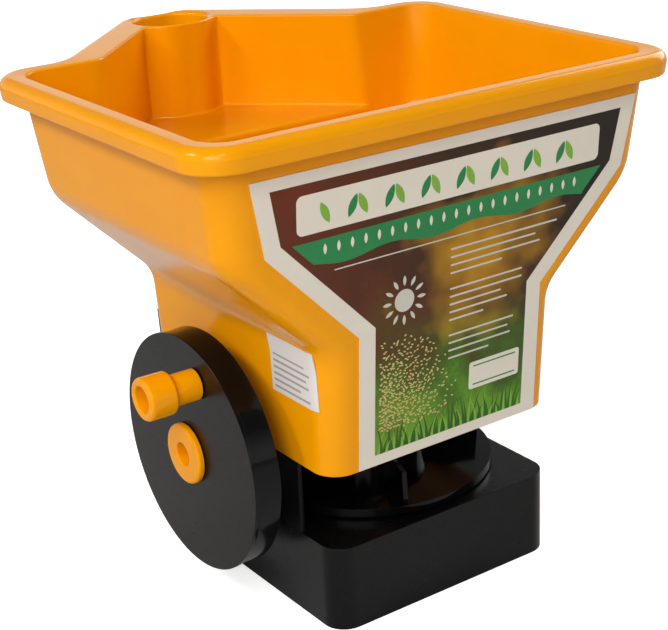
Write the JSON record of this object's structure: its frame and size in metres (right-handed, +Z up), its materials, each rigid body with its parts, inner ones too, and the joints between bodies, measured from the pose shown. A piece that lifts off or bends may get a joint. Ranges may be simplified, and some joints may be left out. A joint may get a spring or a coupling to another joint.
{
  "type": "hand spreader",
  "caption": "Hand-held crank spreader: open hopper with a hollow grip behind, geared crank wheel at the side, vaned spinner disc in the gap above a flat base.",
  "frame": {"origin": "middle of the base's flat underside, on the floor", "axes": "+Z up; -Y the front with the label, +Y the back with the grip; +X to the right seen from the front, the crank wheel on -X"},
  "size_m": [0.2224, 0.2323, 0.2119],
  "materials": {
    "orange_plastic": "smooth moulded, semi-gloss",
    "ring_plastic": "plain moulded",
    "label_film": "printed gloss film",
    "sticker_film": "plain white film",
    "black_plastic": "smooth moulded, glossy",
    "screw_steel": "zinc plated",
    "shaft_steel": "bright drawn",
    "bush_bronze": "sintered",
    "gear_nylon": "plain moulded"
  },
  "bodies": {
    "stand": {"hopper": "orange_plastic", "front_label": "label_film", "side_sticker": "sticker_film", "drive_frame": "black_plastic", "base_housing": "black_plastic", "base_cover": "black_plastic", "cover_screws": "screw_steel", "frame_screws": "screw_steel", "hopper_screws": "screw_steel", "hub_pin": "orange_plastic", "axle_screw": "screw_steel", "cross_bushes": "bush_bronze", "foot_bush": "bush_bronze", "dome_bush": "bush_bronze", "floor_bush": "bush_bronze", "shutter_guide": "black_plastic", "guide_screws": "screw_steel"},
    "crank": {"crank_wheel": "black_plastic", "ring_gear": "ring_plastic", "knob_screw": "screw_steel"},
    "knob": {"crank_knob": "orange_plastic"},
    "cross_drive": {"cross_shaft": "shaft_steel", "drive_pinion": "gear_nylon", "bevel_driver": "gear_nylon"},
    "spinner": {"spinner_shaft": "shaft_steel", "spinner_bevel": "gear_nylon", "spinner_disc": "black_plastic", "spinner_nut": "screw_steel", "agitator": "black_plastic"},
    "shutter": {"flow_shutter": "black_plastic"}
  },
  "joints": [
    {"name": "crank_spin", "type": "hinge", "parent": "stand", "child": "crank", "pos_m": [0, 0, 0.0643], "axis": [1, 0, 0], "continuous": true},
    {"name": "knob_spin", "type": "hinge", "parent": "crank", "child": "knob", "pos_m": [0, -0.01091, 0.0985], "axis": [1, 0, 0], "continuous": true},
    {"name": "cross_spin", "type": "hinge", "parent": "stand", "child": "cross_drive", "pos_m": [0, -0.0094, 0.03059], "axis": [1, 0, 0], "continuous": true},
    {"name": "spinner_spin", "type": "hinge", "parent": "stand", "child": "spinner", "pos_m": [0.0024, -0.0094, 0], "axis": [0, 0, 1], "continuous": true},
    {"name": "flow_slide", "type": "slide", "parent": "stand", "child": "shutter", "axis": [0, 1, 0], "range_m": [0, 0.022]}
  ],
  "couplings": [
    {"joint": "cross_spin", "follows": "crank_spin", "ratio": 5},
    {"joint": "spinner_spin", "follows": "crank_spin", "ratio": 5}
  ]
}
